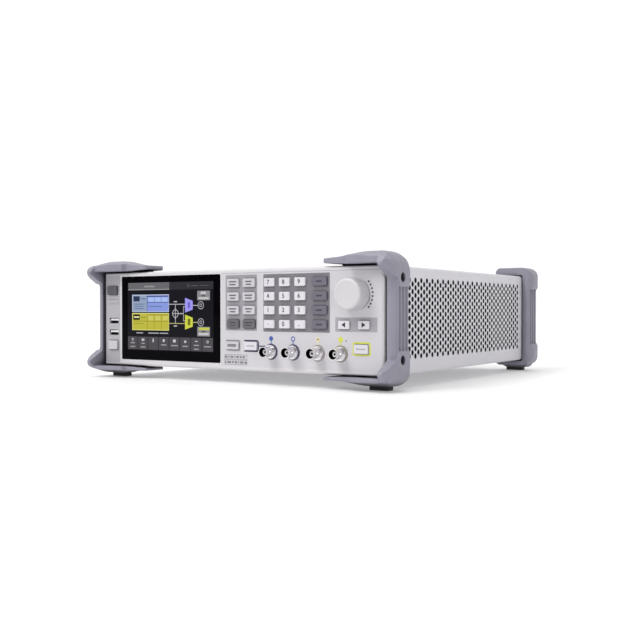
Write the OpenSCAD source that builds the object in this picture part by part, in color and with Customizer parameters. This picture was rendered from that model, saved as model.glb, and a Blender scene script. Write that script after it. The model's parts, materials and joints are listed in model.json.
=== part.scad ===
// Bench function generator: a 2U sheet-metal case with four corner bumpers, a colour display, a keypad,
// one rotary knob and BNC jacks. Millimetres. X right, Y rearwards, Z up.
// Origin on the floor, under the middle of the instrument.

/* [Case] */
// Width of the metal case
case_w = 329; // [328:1:332]
// Height of the metal case
case_h = 93; // [93:1:95]
// Depth of the metal case behind the bezel
case_d = 304; // [300:1:320]
// Sheet metal thickness
sheet = 1.2; // [1:0.1:1.5]
// Radius of the folds along the case edges
fold_r = 3; // [2:0.5:3]

/* [Side vents] */
// Diameter of a vent hole
vent_d = 4.8; // [3:0.1:5]
// Distance between holes in a column
vent_pitch = 6.6; // [6:0.1:6.8]
// Distance between columns
vent_step = 5.55; // [5.4:0.05:5.6]
// Number of columns
vent_columns = 47; // [10:1:47]
// Holes in a long column
vent_rows = 11; // [3:1:11]

/* [Front bezel] */
// Depth of the bezel
bezel_d = 20; // [20:0.5:22]
// Thickness of its face
bezel_wall = 3.5; // [3:0.1:3.6]
// Thickness of its sides
bezel_side = 2.5; // [2:0.1:3]
// Radius of its front edges
edge_r = 2.5; // [1:0.1:3]
// How much its face is set in at each end
end_inset = 1.5; // [0.5:0.1:2]
// How far back that inset runs
end_depth = 5; // [4:0.5:6]

// Depth of the recessed strip at its left end
strip_depth = 0.8; // [0.4:0.1:1]

/* [Display] */
// Cover glass width, height and thickness
glass_size = [127.9, 82.5, 1.8]; // [60:0.1:130]
// Cover glass centre, across and up from the middle of the panel
glass_at = [-74.55, 0.95]; // [-80:0.05:80]
// Visible screen width and height
screen_size = [111.4, 66.7]; // [50:0.1:115]
// Visible screen centre
screen_at = [-74.7, 2.65]; // [-80:0.05:80]

/* [Keys] */
// How far a key travels when pressed
key_travel = 1; // [0.5:0.1:1]
// How far the keypad keys stand out of the bezel
key_rise = 1.8; // [1.2:0.1:2.5]
// How far the keys on the left strip stand out
strip_key_rise = 1.3; // [1.2:0.1:2]
// Gap between a key and its hole, on each side
key_gap = 0.3; // [0.2:0.05:0.4]
// Height of the top row of keys above the middle of the panel
row_top = 33.7; // [32:0.1:34]
// Distance between rows of keys
row_pitch = 12.43; // [12:0.01:12.6]
// Width and height of a number key
number_key = [11.3, 7.5]; // [6:0.1:12.5]
// Width and height of a function key
function_key = [13.6, 7.8]; // [6:0.1:15.5]
// Width and height of a unit key
unit_key = [15.3, 7.7]; // [6:0.1:15.5]
// Width and height of an arrow key
arrow_key = [10.8, 7.2]; // [6:0.1:12]
// Width and height of an output key
output_key = [13.6, 7.6]; // [6:0.1:14]

/* [Knob] */
// Knob diameter
knob_d = 26.5; // [20:0.5:28]
// How far the knob stands out of the bezel
knob_h = 16; // [12:0.1:17]
// Diameter of the knob's stem
stem_d = 6; // [5:0.1:6]
// Radial clearance between the stem and the encoder
stem_fit = 0.05; // [0.03:0.01:0.08]
// Knob centre
knob_at = [136.1, 22.1]; // [10:0.1:140]

/* [BNC jacks] */
// Outside diameter of the barrel
bnc_d = 9.65; // [9.6:0.01:9.7]
// How far the barrel stands out of the panel
bnc_reach = 12.5; // [12:0.1:13]
// Diameter of the ring nut
bnc_nut_d = 12.2; // [12:0.1:14]
// Places of the front jacks across the panel
bnc_x = [47.9, 71.8, 97.9, 121]; // [40:0.1:125]
// Height of the front jacks above the middle of the panel
bnc_z = -28.3; // [-30:0.1:-27]

/* [Bumpers] */
// How far the middle of a bumper stands out of the case side
bar_out = 9; // [7:0.5:10]
// How far its corner blocks stand out
block_out = 10.5; // [10:0.5:12]
// How far the front horns stand out of the bezel
horn_out = 17.5; // [16:0.5:17.5]
// Depth of the front bumper behind the bezel face
bumper_d = 24.5; // [22:0.5:26]
// How far the rear bumper reaches behind the case
tail_out = 10; // [10:0.5:12]
// Gap between a bumper and the bezel's edge
bumper_gap = 1.3; // [0.8:0.1:1.5]
// Half height of a bumper over its humps
hump_z = 56.75; // [56:0.05:57]
// Height of the bumpers' middle above the panel's middle
bumper_up = 1.75; // [1.5:0.05:1.8]
// Thickness of the rubber feet
foot_h = 3.6; // [3:0.1:5]

/* [Fans] */
// Side of a square fan frame
fan_size = 79.6; // [60:0.1:79.6]
// Thickness of a fan
fan_t = 25; // [20:1:25]
// Height of the fan axis above the middle of the panel
fan_z = 1.5; // [0:0.1:1.5]

/* [Hidden] */
$fn = 48;
rear_y = bezel_d + case_d + tail_out;
face_y = (horn_out - rear_y) / 2;
panel_z = foot_h + hump_z - bumper_up;
half_w = case_w / 2;
half_h = case_h / 2;
case_end = bezel_d + case_d;

// Depths behind the bezel face
flange_y = bezel_wall + 0.2;
flange_t = 1.2;
key_end = 8.6;
board_y = 13.4;
board_t = 1.6;
plate_y = 17;
rear_panel_y = case_end - 4;

// Folded joints of the sheet metal
cover_x = half_w - 7.2;
lip_x = half_w - 16.5;
screw_row_x = half_w - 12;
screw_seat = half_w + 2;
screw_y = 11;
screw_z = 34.25;
case_screw_y = [60, 172, 285];
rear_screws = [[-60, 41], [60, 41], [-60, -41], [60, -41]];

// Places on the panel, across and up
strip_at = [-151.4, 0];
strip_size = [20.8, 87.8];
number_x = [46.6, 63.25, 79.9];
function_x = [5.3, 23.7];
unit_x = 100;
arrow_x = [124.8, 144.3];
usb_at = [[-150.65, -1.8], [-150.65, -13.6]];
usb_mouth = [13, 5.6];
bnc_rear_x = [-20, 12];
bnc_rear_z = 14;
lan_at = [60, -18];
usb_b_at = [88, -18];
inlet_at = [-110, -8];
inlet_cutout = [27.4, 19.8];
number_names = [["7", "8", "9"], ["4", "5", "6"], ["1", "2", "3"], ["sign", "0", "point"]];

// Fans blow out through the right side
fan_x = half_w - 30.5;
fan_y = [68, 148];

function row_z(r) = row_top - r * row_pitch;

// Every key: name, centre, size, rise
KEYS = concat(
    [["power_key", [-151.8, 28.8], [13.5, 8.9], strip_key_rise],
     ["side_key", [-150.7, -26.4], [12.3, 8.9], strip_key_rise],
     ["shift_key", [4.4, -23.5], [14.6, 7.4], key_rise],
     ["output_key_1", [25.8, -23.6], output_key, key_rise],
     ["output_key_2", [141.6, -23.8], output_key, key_rise],
     ["arrow_key_left", [arrow_x[0], row_z(3)], arrow_key, key_rise],
     ["arrow_key_right", [arrow_x[1], row_z(3)], arrow_key, key_rise]],
    [for (r = [0:3], c = [0:1])
        [str("function_key_", 2 * r + c + 1), [function_x[c], row_z(r)], function_key, key_rise]],
    [for (r = [0:3], c = [0:2])
        [str("number_key_", number_names[r][c]), [number_x[c], row_z(r)], number_key, key_rise]],
    [for (r = [0:3]) [str("unit_key_", r + 1), [unit_x, row_z(r)], unit_key, key_rise]]
);

// ---- outlines ----

function unit(v) = v / norm(v);

// The points of a fillet of radius r at corner p, between neighbours a and b
function fillet(a, p, b, r, n) =
    let (u = unit(a - p), v = unit(b - p), half = acos(u * v) / 2, c = p + unit(u + v) * r / sin(half),
         s = p + u * r / tan(half) - c, e = p + v * r / tan(half) - c, a0 = atan2(s[1], s[0]),
         turn = atan2(s[0] * e[1] - s[1] * e[0], s * e))
    [for (k = [0:n]) c + r * [cos(a0 + turn * k / n), sin(a0 + turn * k / n)]];

// An outline whose corners [x, y, radius] are rounded
function rounded(p, n = 6) =
    let (m = len(p))
    [for (i = [0:m - 1])
        let (a = p[(i + m - 1) % m], q = p[i], b = p[(i + 1) % m], xy = [q[0], q[1]])
        each (q[2] == 0 ? [xy] : fillet([a[0], a[1]], xy, [b[0], b[1]], q[2], n))];

function rectangle(w, h, r) =
    rounded([[-w / 2, -h / 2, r], [w / 2, -h / 2, r], [w / 2, h / 2, r], [-w / 2, h / 2, r]], 5);

// ---- solids along an axis ----

// Outline in X and Z
module along_y(y0, y1) {
    translate([0, y1, 0]) rotate([90, 0, 0]) linear_extrude(y1 - y0) children();
}

// Outline in Y and Z
module along_x(x0, x1) {
    translate([x0, 0, 0]) rotate([90, 0, 90]) linear_extrude(x1 - x0) children();
}

module along_z(z0, z1) {
    translate([0, 0, z0]) linear_extrude(z1 - z0) children();
}

module rod_x(r, x0, x1) {
    translate([x0, 0, 0]) rotate([0, 90, 0]) cylinder(r = r, h = x1 - x0);
}

module rod_y(r, y0, y1) {
    translate([0, y0, 0]) rotate([-90, 0, 0]) cylinder(r = r, h = y1 - y0);
}

module block(x, y, z) {
    translate([x[0], y[0], z[0]]) cube([x[1] - x[0], y[1] - y[0], z[1] - z[0]]);
}

// Moves children into the panel frame: the middle of the bezel face
module panel() {
    translate([0, face_y, panel_z]) children();
}

// A point on the panel, across and up
module at(p) {
    translate([p[0], 0, p[1]]) children();
}

// The same solid on both sides
module both_sides() {
    children();
    mirror([1, 0, 0]) children();
}

// ---- fasteners ----

// M3 pan head screw, its seat at the origin and its head towards +Z
module pan_screw() {
    difference() {
        union() {
            cylinder(r = 2.8, h = 1.9);
            translate([0, 0, -4.5]) cylinder(r = 1.45, h = 5);
        }
        for (a = [0, 90]) rotate([0, 0, a]) translate([-1.6, -0.4, 0.9]) cube([3.2, 0.8, 2]);
    }
}

// M3 countersunk screw, flush with the sheet at the origin
module flat_screw() {
    difference() {
        union() {
            translate([0, 0, -1.25]) cylinder(r1 = 1.45, r2 = 2.65, h = 1.2);
            translate([0, 0, -4.5]) cylinder(r = 1.45, h = 3.4);
        }
        for (a = [0, 90]) rotate([0, 0, a]) translate([-1.6, -0.4, -0.85]) cube([3.2, 0.8, 2]);
    }
}

module case_screws() {
    color("silver") panel() {
        both_sides() {
            for (z = [screw_z, -screw_z])
                translate([screw_seat, screw_y, z + bumper_up]) rotate([0, 90, 0]) pan_screw();
            for (z = [screw_z, -screw_z])
                translate([half_w - 5.5, case_end + 2.5, z + bumper_up]) rotate([-90, 0, 0]) pan_screw();
            for (y = case_screw_y) {
                translate([screw_row_x, y, half_h]) flat_screw();
                translate([screw_row_x, y, -half_h]) rotate([180, 0, 0]) flat_screw();
            }
        }
        for (p = rear_screws) translate([p[0], rear_panel_y + sheet, p[1]]) rotate([-90, 0, 0]) pan_screw();
    }
}

// Countersunk clearance holes for the screws through the covers
module cover_screw_holes() {
    for (x = [screw_row_x, -screw_row_x], y = case_screw_y) {
        translate([x, y, -half_h - 1]) cylinder(r = 1.75, h = case_h + 2);
        for (s = [0, 1])
            mirror([0, 0, s]) translate([x, y, half_h - 1.2]) cylinder(r1 = 1.75, r2 = 3.15, h = 1.4);
    }
}

// ---- sheet metal ----

// Vertical section of the right side panel: a channel with a stepped lip along each edge
module side_section() {
    difference() {
        polygon(rounded([[cover_x, -half_h, 0], [half_w, -half_h, fold_r],
                         [half_w, half_h, fold_r], [cover_x, half_h, 0]]));
        polygon(rounded([[cover_x - 1, -half_h + sheet, 0],
                         [half_w - sheet, -half_h + sheet, fold_r - sheet],
                         [half_w - sheet, half_h - sheet, fold_r - sheet],
                         [cover_x - 1, half_h - sheet, 0]]));
    }
    for (s = [-1, 1]) {
        top = half_h - sheet;
        polygon([[lip_x, s * top], [cover_x + sheet, s * top], [cover_x + sheet, s * (top - sheet)],
                 [lip_x, s * (top - sheet)]]);
        polygon([[cover_x, s * half_h], [cover_x + sheet, s * half_h], [cover_x + sheet, s * (top - sheet)],
                 [cover_x, s * (top - sheet)]]);
    }
}

module vent_holes() {
    for (c = [0:vent_columns - 1]) {
        n = vent_rows - c % 2;
        for (r = [0:n - 1])
            translate([0, 42.3 + c * vent_step, bumper_up + (r - (n - 1) / 2) * vent_pitch])
                rod_x(vent_d / 2, half_w - 3, half_w + 1, $fn = 24);
    }
}

module side_panel() {
    difference() {
        union() {
            along_y(bezel_d, case_end) side_section();
            block([half_w - 12, half_w - sheet], [case_end - sheet, case_end], [-40, 40]);
        }
        vent_holes();
        cover_screw_holes();
        for (z = [screw_z, -screw_z])
            translate([half_w - 5.5, 0, z + bumper_up]) rod_y(1.7, case_end - 3, case_end + 1);
    }
}

module side_panel_right() {
    color("gainsboro") panel() side_panel();
}

module side_panel_left() {
    color("gainsboro") panel() mirror([1, 0, 0]) side_panel();
}

module top_cover() {
    color("gainsboro") panel() difference() {
        union() {
            block([-cover_x + 0.2, cover_x - 0.2], [bezel_d, case_end], [half_h - sheet, half_h]);
            block([-120, 120], [rear_panel_y - sheet, rear_panel_y], [36, half_h - sheet]);
        }
        cover_screw_holes();
        for (p = rear_screws) at(p) rod_y(1.7, rear_panel_y - 3, rear_panel_y + 1);
    }
}

// The shelf under the fans, stepped over the right side panel's lip
module fan_shelf(bottom) {
    y = [fan_y[0] - fan_size / 2, fan_y[1] + fan_size / 2];
    top = fan_z - fan_size / 2;
    block([fan_x, lip_x - 0.3], y, [bottom - 0.1, top]);
    block([fan_x, fan_x + fan_t], y, [bottom + sheet + 0.1, top]);
}

// The floor of the case, with the circuit board's posts and the fan shelf
module base_pan() {
    bottom = -half_h + sheet;
    color("darkgray") panel() difference() {
        union() {
            block([-cover_x + 0.2, cover_x - 0.2], [bezel_d, case_end], [-half_h, bottom]);
            block([-120, 120], [rear_panel_y - sheet, rear_panel_y], [bottom, -36]);
            fan_shelf(bottom);
            for (x = [-60, 30, 120], y = [70, 170, 280])
                translate([x, y, bottom - 0.1]) cylinder(r = 3, h = -37.4 - bottom + 0.1);
        }
        cover_screw_holes();
        for (p = rear_screws) at(p) rod_y(1.7, rear_panel_y - 3, rear_panel_y + 1);
    }
}

module rear_panel() {
    y = [rear_panel_y, rear_panel_y + sheet];
    color("gainsboro") panel() difference() {
        block([-half_w + sheet + 0.1, half_w - sheet - 0.1], y, [-half_h + sheet, half_h - sheet]);
        both_sides() for (s = [0, 1]) mirror([0, 0, s])
            block([lip_x - 0.2, half_w], [y[0] - 1, y[1] + 1], [half_h - 2 * sheet - 0.6, half_h]);
        for (p = rear_screws) at(p) rod_y(1.7, y[0] - 1, y[1] + 1);
        for (x = bnc_rear_x) at([x, bnc_rear_z]) rod_y(5.6, y[0] - 1, y[1] + 1);
        at(lan_at) block([-8.2, 8.2], [y[0] - 1, y[1] + 1], [-7.2, 7.2]);
        at(usb_b_at) block([-6.3, 6.3], [y[0] - 1, y[1] + 1], [-5.8, 5.8]);
        at(inlet_at) block([-inlet_cutout[0] / 2, inlet_cutout[0] / 2], [y[0] - 1, y[1] + 1],
                           [-inlet_cutout[1] / 2, inlet_cutout[1] / 2]);
    }
}

// Pressed plate behind the front circuit board, with a flange along each side
module front_chassis() {
    x = half_w - bezel_side - 0.1;
    color("silver") panel() {
        difference() {
            union() {
                block([-x, x], [plate_y, plate_y + 1.5], [-40, 40]);
                for (px = [-150, 38, 158], pz = [-38, 38])
                    translate([px, 0, pz]) rod_y(2.5, board_y + board_t, plate_y + 0.5);
            }
            block([-30, 30], [plate_y - 1, plate_y + 3], [-16, 16]);
            for (px = [-110, 100]) block([px - 18, px + 18], [plate_y - 1, plate_y + 3], [-10, 10]);
        }
        both_sides() difference() {
            block([x - 1.5, x], [plate_y + 1.5, 50], [-40, 40]);
            for (z = [-25, 25]) translate([0, 40, z]) rod_x(1.7, x - 3, x + 1);
        }
    }
}

// ---- front ----

// Solid bezel with rounded front edges
module bezel_shell() {
    face_w = half_w - end_inset;
    intersection() {
        along_y(0, bezel_d) polygon(rectangle(case_w, case_h, fold_r));
        along_z(-half_h, half_h)
            polygon(rounded([[-face_w, 0, edge_r], [face_w, 0, edge_r], [face_w, end_depth, 0],
                             [half_w, end_depth, 0], [half_w, bezel_d, 0], [-half_w, bezel_d, 0],
                             [-half_w, end_depth, 0], [-face_w, end_depth, 0]]));
        along_x(-half_w, half_w)
            polygon(rounded([[0, -half_h, edge_r], [0, half_h, edge_r],
                             [bezel_d, half_h, 0], [bezel_d, -half_h, 0]]));
    }
}

module front_bezel() {
    inner_x = half_w - bezel_side;
    inner_z = half_h - bezel_side;
    through = [-1, bezel_wall + 1];
    color("gainsboro") panel() difference() {
        bezel_shell();
        block([-inner_x, inner_x], [bezel_wall, bezel_d + 1], [-inner_z, inner_z]);
        at(strip_at) along_y(-1, strip_depth) polygon(rectangle(strip_size[0], strip_size[1], 1.5));
        at(glass_at) along_y(-1, glass_size[2])
            polygon(rectangle(glass_size[0] + 0.3, glass_size[1] + 0.3, 1.2));
        at(screen_at) along_y(through[0], through[1])
            square([screen_size[0] + 1.6, screen_size[1] + 1.6], center = true);
        for (k = KEYS)
            at(k[1]) along_y(through[0], through[1])
                polygon(rectangle(k[2][0] + 2 * key_gap, k[2][1] + 2 * key_gap, 1 + key_gap));
        for (p = usb_at) at(p) along_y(through[0], through[1]) square(usb_mouth, center = true);
        for (x = bnc_x) at([x, bnc_z]) rod_y(5.6, through[0], through[1]);
        at(knob_at) rod_y(4.8, through[0], through[1]);
        for (x = [-half_w - 1, inner_x - 1], z = [screw_z, -screw_z])
            translate([0, screw_y, z + bumper_up]) rod_x(1.7, x, x + bezel_side + 2);
    }
}

module display_glass() {
    color([0.02, 0.02, 0.03]) panel() at(glass_at)
        along_y(0, glass_size[2]) polygon(rectangle(glass_size[0], glass_size[1], 1));
}

// Liquid crystal panel in its metal frame
module display_module() {
    color("dimgray") panel() at(screen_at) {
        block([-60.5, 60.5], [bezel_wall + 0.1, 9.2], [-38, 38]);
        block([-screen_size[0] / 2, screen_size[0] / 2], [glass_size[2] + 0.1, bezel_wall + 0.2],
              [-screen_size[1] / 2, screen_size[1] / 2]);
    }
}

// The board behind the keys, with the ribbon socket and the display's spacers
module front_circuit_board() {
    color("darkgreen") panel() {
        difference() {
            block([-159, 159], [board_y, board_y + board_t], [-41, 41]);
            for (px = [-130, -20], pz = [-20, 20])
                at([px, pz]) rod_y(1.6, board_y - 1, board_y + board_t + 1);
        }
        for (px = [-125, -25], pz = [-25, 30]) at([px, pz]) rod_y(3, 9.2, board_y + 0.2);
        block([-90, -60], [11, board_y + 0.2], [-8, -2]);
    }
}

// One tact switch behind each key, shown pressed so that the key's travel stays free
module key_switches() {
    top_y = key_end + key_travel + 0.1;
    color("black") panel() for (k = KEYS) at(k[1]) {
        block([-3, 3], [top_y + 0.7, board_y], [-3, 3]);
        rod_y(1.7, top_y, top_y + 1);
    }
}

// A key: cap, retaining flange and stem
module key(k) {
    size = k[2];
    panel() at(k[1]) {
        along_y(-k[3], flange_y + 0.1) polygon(rectangle(size[0], size[1], 1));
        along_y(flange_y, flange_y + flange_t) square([size[0] + 2, size[1] + 1.4], center = true);
        block([-2, 2], [flange_y + flange_t - 0.1, key_end], [-2, 2]);
    }
}

// Rotary encoder with a through bushing and a hollow rotor
module encoder_body() {
    color("silver") panel() at(knob_at) difference() {
        union() {
            rod_y(4.5, 0.3, 8);
            block([-6, 6], [7.5, board_y], [-6, 6]);
        }
        rod_y(stem_d / 2 + stem_fit, -1, 12.4);
    }
}

// Knob and stem in one moulding
module control_knob() {
    r = knob_d / 2;
    color("gainsboro") panel() at(knob_at) rotate([90, 0, 0]) {
        rotate_extrude()
            polygon(rounded([[0, 0.6, 0], [r, 0.6, 0.4], [r, knob_h, 2.2], [0, knob_h - 0.3, 0]]));
        translate([0, 0, -12.2]) cylinder(r = stem_d / 2, h = 13.5);
    }
}

// ---- connectors ----

// Bulkhead BNC shell along Y: the panel face at 0, the mouth towards -Y, the back at depth
module bnc_shell(depth) {
    difference() {
        union() {
            rod_y(bnc_d / 2, -bnc_reach, -9.4);
            rod_y(bnc_d / 2 - 0.1, -9.6, -2);
            rod_y(5.5, -2.4, 4);
            rod_y(6.6, 3.6, depth);
            for (a = [90, 270]) rotate([0, a, 0]) translate([0, -8.2, 0]) cylinder(r = 1, h = bnc_d / 2 + 1);
        }
        rod_y(4.05, -bnc_reach - 1, 8);
        rod_y(1.6, 7, depth + 1);
    }
    difference() {
        rod_y(bnc_nut_d / 2, -2.2, 0);
        rod_y(5.55, -3, 1);
    }
}

module bnc_insulator() {
    difference() {
        union() {
            rod_y(2.4, -bnc_reach + 3, -2);
            rod_y(4, -2.5, 8);
        }
        rod_y(1.1, -bnc_reach, 9);
    }
}

module bnc_contact(depth) {
    difference() {
        rod_y(1.05, -bnc_reach + 3.4, depth);
        rod_y(0.65, -bnc_reach, -bnc_reach + 8);
    }
}

// Children at every jack: the front jacks, then the rear jacks turned to face rearwards
module front_jacks() {
    panel() for (x = bnc_x) at([x, bnc_z]) children();
}

module rear_jacks() {
    panel() for (x = bnc_rear_x)
        translate([x, rear_panel_y + sheet, bnc_rear_z]) rotate([0, 0, 180]) children();
}

module bnc_shells() {
    color("silver") {
        front_jacks() bnc_shell(board_y);
        rear_jacks() bnc_shell(20);
    }
}

module bnc_insulators() {
    color("white") {
        front_jacks() bnc_insulator();
        rear_jacks() bnc_insulator();
    }
}

module bnc_contacts() {
    color("gold") {
        front_jacks() bnc_contact(board_y);
        rear_jacks() bnc_contact(20);
    }
}

// A box-shaped socket along Y with its mouth at 0 and its back at depth, and a tongue inside it
module socket(outer, inner, tongue, tongue_z, depth, back) {
    difference() {
        block([-outer[0] / 2, outer[0] / 2], [0, back], [-outer[1] / 2, outer[1] / 2]);
        block([-inner[0] / 2, inner[0] / 2], [-1, depth], [-inner[1] / 2, inner[1] / 2]);
    }
    block([-tongue[0] / 2, tongue[0] / 2], [1.2, depth + 0.2],
          [tongue_z - tongue[1] / 2, tongue_z + tongue[1] / 2]);
}

// Two USB sockets on the front board, and the USB and network sockets at the back
module data_ports() {
    color("silver") panel() {
        for (p = usb_at) translate([p[0], bezel_wall + 0.1, p[1]])
            socket([13.9, 6.6], [12.5, 5.12], [11.2, 1.9], 1.1, 9, board_y - bezel_wall - 0.1);
        translate([usb_b_at[0], rear_panel_y + sheet, usb_b_at[1]]) rotate([0, 0, 180])
            socket([12, 11], [8.5, 7.8], [5.6, 3.2], 0, 9, 16);
        translate([lan_at[0], rear_panel_y + sheet, lan_at[1]]) rotate([0, 0, 180]) difference() {
            block([-8, 8], [0, 21], [-7, 7]);
            block([-5.9, 5.9], [-1, 13], [-4.2, 3.4]);
            block([-3, 3], [-1, 13], [-5.6, -4]);
        }
    }
}

// Three-pin mains inlet with a fuse drawer below its mouth
module mains_inlet() {
    color([0.12, 0.12, 0.12]) panel()
        translate([inlet_at[0], rear_panel_y + sheet, inlet_at[1]]) rotate([0, 0, 180]) {
            difference() {
                union() {
                    along_y(-2.5, 0) polygon(rectangle(50, 26, 3));
                    block([-13.5, 13.5], [-0.5, 20], [-9.7, 9.7]);
                }
                along_y(-4, 14)
                    polygon(rounded([[-12, -8, 0.5], [12, -8, 0.5], [12, 3, 0.5],
                                     [7, 8, 0.5], [-7, 8, 0.5], [-12, 3, 0.5]]));
                for (x = [-20, 20]) translate([x, 0, 0]) rod_y(1.7, -4, 1);
            }
            for (p = [[-7, -2], [0, 2], [7, -2]]) at(p) block([-1, 1], [4, 20.5], [-2, 2]);
        }
}

// ---- bumpers, given relative to their own middle height ----

// Front view of a bumper: a deep C around the case. The tips of its wings end at the heights in edge_z, and
// the wings reach their full height over the length of ramp; the corner blocks end at crease.
module bumper_section(tip, edge_z, ramp, top_z, out, crease, corner) {
    bar_x = half_w + bar_out;
    block_x = half_w + out;
    high = half_h - bumper_up;
    low = -half_h - bumper_up;
    polygon(rounded([
        [tip, high, 0], [tip, edge_z[0], 1], [tip + ramp, top_z - 0.1, 2], [block_x, top_z, corner],
        [block_x, crease + 2.5, 1.5], [bar_x, crease, 1], [bar_x, -crease, 1],
        [block_x, -crease - 2.5, 1.5], [block_x, -top_z, corner], [tip + ramp, -top_z + 0.1, 2],
        [tip, -edge_z[1], 1], [tip, low, 0], [half_w, low, 0], [half_w, high, 0]], 10));
}

// Side view of the two corner blocks of a front bumper, each with a beak
module beak_outline() {
    for (s = [1, -1])
        polygon(rounded([[-horn_out, s * 43.6, 2], [-1, s * 34, 1], [3, s * 33.5, 1], [5.5, s * 26.5, 1],
                         [bumper_d, s * 26, 0], [bumper_d, s * 54.5, 1], [-9, s * 54.5, 5],
                         [-horn_out, s * 46.4, 2]]));
}

// The outer edge of the blocks in plan, from the front to the back
block_edge = [[half_w + 5.8, -horn_out, 1.5], [half_w + 9.6, -horn_out + 6, 8], [half_w + block_out, -2, 6],
              [half_w + block_out, bumper_d, 2]];

// Plan of the wings, with a stepped visor over the bezel
module wing_plan() {
    polygon(rounded(concat(
        [[half_w - 60.5, bumper_d, 3], [half_w - 60.5, -2, 2], [half_w - 35.5, -3.5, 1],
         [half_w - 33.5, -8.5, 1], [half_w - 10, -12, 3], [half_w + bumper_gap, -12.5, 0],
         [half_w + bumper_gap, -horn_out, 0]],
        block_edge)));
}

// Plan of the blades in front of the bezel's edges
module blade_plan() {
    polygon(rounded(concat([[half_w, bumper_d, 0], [half_w, -horn_out, 0]], block_edge)));
}

// A raised pad on a wing, from x0 to x1 and from y0 to y1
module hump(x0, x1, y0, y1, ramp) {
    intersection() {
        along_y(y0, y1)
            polygon(rounded([[x0, 50, 0], [x1, 50, 0], [x1 - 1, hump_z, 5], [x0 + ramp, hump_z, 6],
                             [x0, 51.5, 0]]));
        along_x(x0, x1)
            polygon(rounded([[y0, 50, 0], [y0 + 3.5, hump_z, 1.5], [y1 - 3.5, hump_z, 1.5], [y1, 50, 0]]));
    }
}

// The back of a front wing: a broad pad that rolls down to the horn and round the outer corner
module front_hump(corner) {
    x0 = half_w - 46;
    outer = half_w + block_out;
    intersection() {
        along_y(-horn_out, bumper_d)
            polygon(rounded([[x0, 50, 0], [half_w + 2, 50, 0], [half_w + 2, 34, 0], [outer, 34, 0],
                             [outer, hump_z, corner], [x0 + 24, hump_z, 6], [x0, 51.5, 0]], 10));
        along_x(x0, outer + 1)
            polygon(rounded([[-13, 45, 0], [-13, 50, 3], [5, hump_z, 14], [bumper_d - 4.5, hump_z, 1.5],
                             [bumper_d - 1, 50, 0], [bumper_d - 1, 37, 0], [1, 37, 0]], 8));
        along_z(-60, 60) wing_plan();
    }
}

// Grooves along the outside of the middle bar
module bar_grooves(places, z) {
    for (y = places) along_z(-z, z) translate([half_w + bar_out, y]) circle(r = 2, $fn = 24);
}

module screw_recess() {
    rod_x(3.9, screw_seat, half_w + 20);
    rod_x(1.7, half_w - 3, screw_seat + 1);
}

// The open gap around the bezel's edge, and under the wings' tips
module front_reliefs() {
    tip = half_w - 61.5;
    rib = half_w - 46;
    low = -half_h - bumper_up;
    high = half_h - bumper_up;
    along_y(-horn_out - 1, 6)
        polygon([[tip, low - 1.9], [half_w - 34, low - 0.9], [half_w + bumper_gap, low - 0.9],
                 [half_w + bumper_gap, high + 1.1], [half_w - 34, high + 1.1], [tip, high + 2.5]]);
    along_y(5, bumper_d + 1) {
        polygon([[tip, high - 1], [rib, high - 1], [rib, high + 1.7], [tip, high + 2.5]]);
        polygon([[tip, low + 1], [rib, low + 1], [rib, low - 1.3], [tip, low - 1.9]]);
    }
}

module front_bumper() {
    panel() translate([0, 0, bumper_up]) difference() {
        union() {
            intersection() {
                along_y(-horn_out, bumper_d)
                    bumper_section(half_w - 60.5, [51.3, 52.8], 26, 53.1, block_out, 26, 17);
                along_z(-60, 60) wing_plan();
                along_x(half_w - 62, half_w + 20) beak_outline();
            }
            intersection() {
                along_z(-52, 52) blade_plan();
                along_x(half_w - 3, half_w + 20) beak_outline();
                along_y(-horn_out, 6) polygon(rectangle(case_w + 2 * block_out, 106.2, 12));
            }
            along_z(-35, 35)
                polygon(rounded([[half_w, -1, 0], [half_w + 4.7, -1, 1], [half_w + bar_out - 0.8, 2.5, 2.5],
                                 [half_w + bar_out, 5.5, 2], [half_w + bar_out, bumper_d, 2],
                                 [half_w, bumper_d, 0]]));
            front_hump(18);
            mirror([0, 0, 1]) front_hump(12);
        }
        front_reliefs();
        bar_grooves([8, 13.7, 19.4], 26.5);
        for (z = [screw_z, -screw_z]) translate([0, screw_y, z]) screw_recess();
    }
}

module rear_bumper() {
    y0 = case_end - 14.5;
    out = block_out + 1;
    tip = half_w - 30.6;
    outer = half_w + out;
    panel() translate([0, 0, bumper_up]) difference() {
        union() {
            intersection() {
                along_y(y0, rear_y) bumper_section(tip, [50.9, 52], 4, 54.5, out, 30, 12);
                along_z(-60, 60)
                    polygon(rounded([[tip, y0, 1.5], [half_w + 6.5, y0, 1.5], [half_w + 9.6, y0 + 3.5, 3],
                                     [outer, y0 + 9, 3], [outer, rear_y, 4], [tip, rear_y, 3]]));
            }
            intersection() {
                along_y(case_end + 0.2, rear_y) translate([half_w - 10.5, -50]) square([14, 100]);
                along_z(-60, 60)
                    polygon(rounded([[half_w - 10.5, case_end, 0], [half_w + 3.5, case_end, 0],
                                     [half_w + 3.5, rear_y, 0], [half_w - 10.5, rear_y, 3]]));
            }
            mirror([0, 0, 1]) hump(tip + 2, half_w + 6, y0 + 1, rear_y - 1, 9);
        }
        along_y(y0 - 1, y0 + 4) translate([0, -bumper_up]) square([case_w + 2, case_h + 1.6], center = true);
        block([half_w - 12, half_w + 20], [rear_y - 1.5, rear_y + 1], [-29, 29]);
        bar_grooves([y0 + 6, y0 + 12, y0 + 18], 30.5);
        for (z = [screw_z, -screw_z]) translate([half_w - 5.5, 0, z]) {
            rod_y(3.1, case_end + 2.5, rear_y + 1);
            rod_y(1.7, case_end - 1, case_end + 3);
        }
    }
}

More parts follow.
